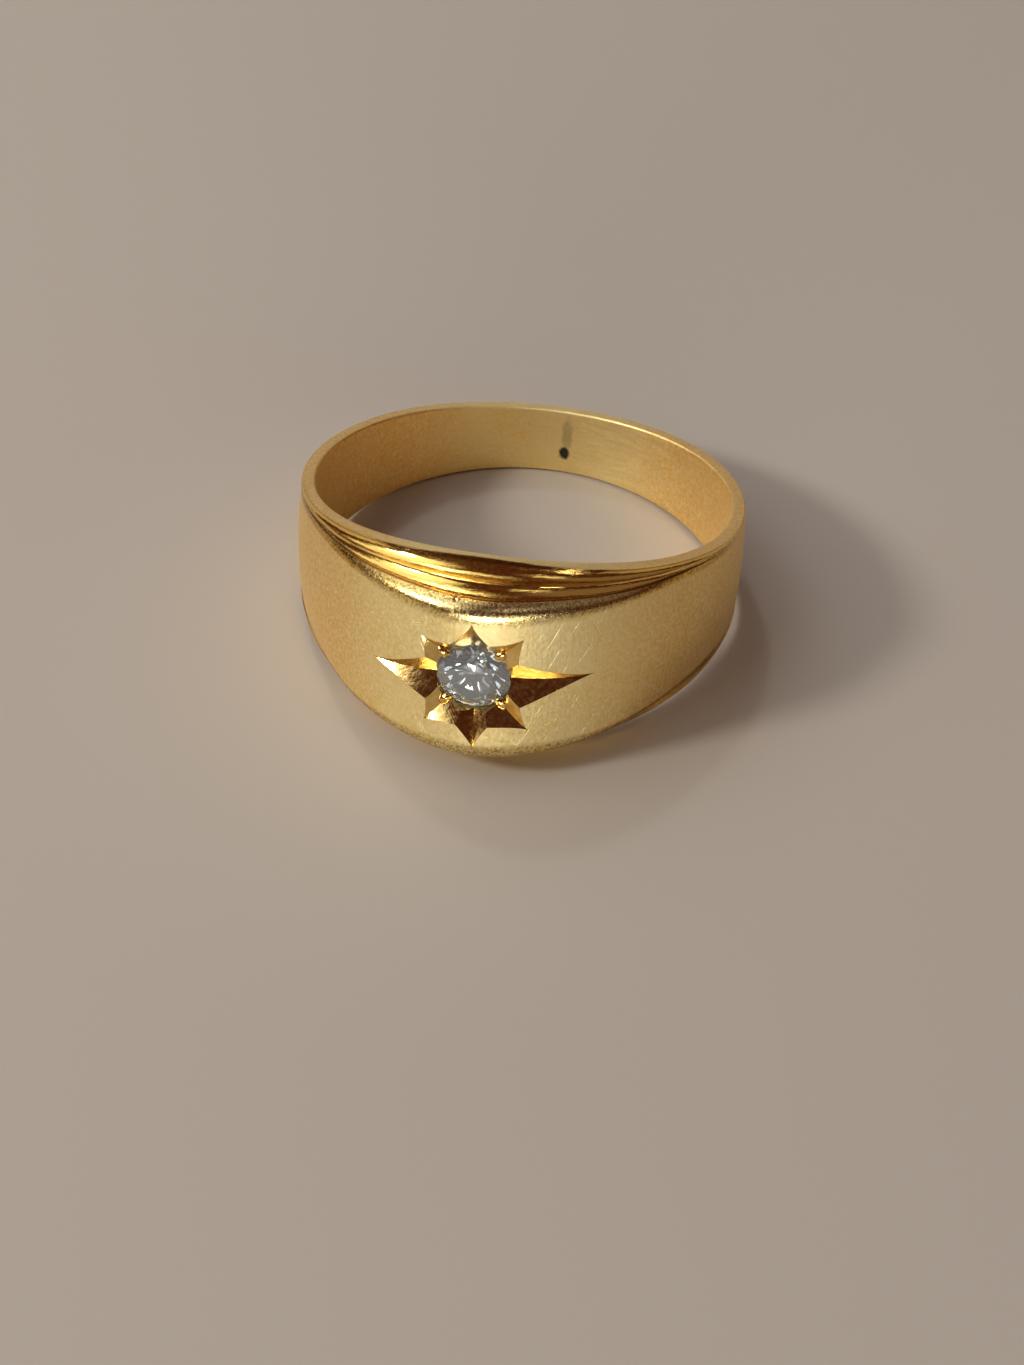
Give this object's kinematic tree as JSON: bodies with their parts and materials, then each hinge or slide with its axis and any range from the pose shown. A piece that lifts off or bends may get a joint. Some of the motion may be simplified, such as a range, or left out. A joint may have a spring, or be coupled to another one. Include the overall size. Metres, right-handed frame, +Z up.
{
  "type": "flush set gypsy ring",
  "caption": "Flush set gypsy ring in yellow gold: a wide front panel between fluted edges, with a star cut round a small brilliant.",
  "frame": {"origin": "centre of the footprint, on the surface that the ring lies on", "axes": "+Z up from the surface, -Y towards the side of the band that holds the stone, X across the finger; the finger's axis leans 8.6 degrees from +Z towards +Y"},
  "size_m": [0.0196, 0.0222, 0.0088],
  "materials": {
    "gold": "18 carat yellow gold, worn satin on the panel and softly polished in the flutes and the bore",
    "diamond": "clear, faceted and polished"
  },
  "bodies": {
    "root": {"band": "gold", "stone": "diamond"}
  },
  "joints": []
}
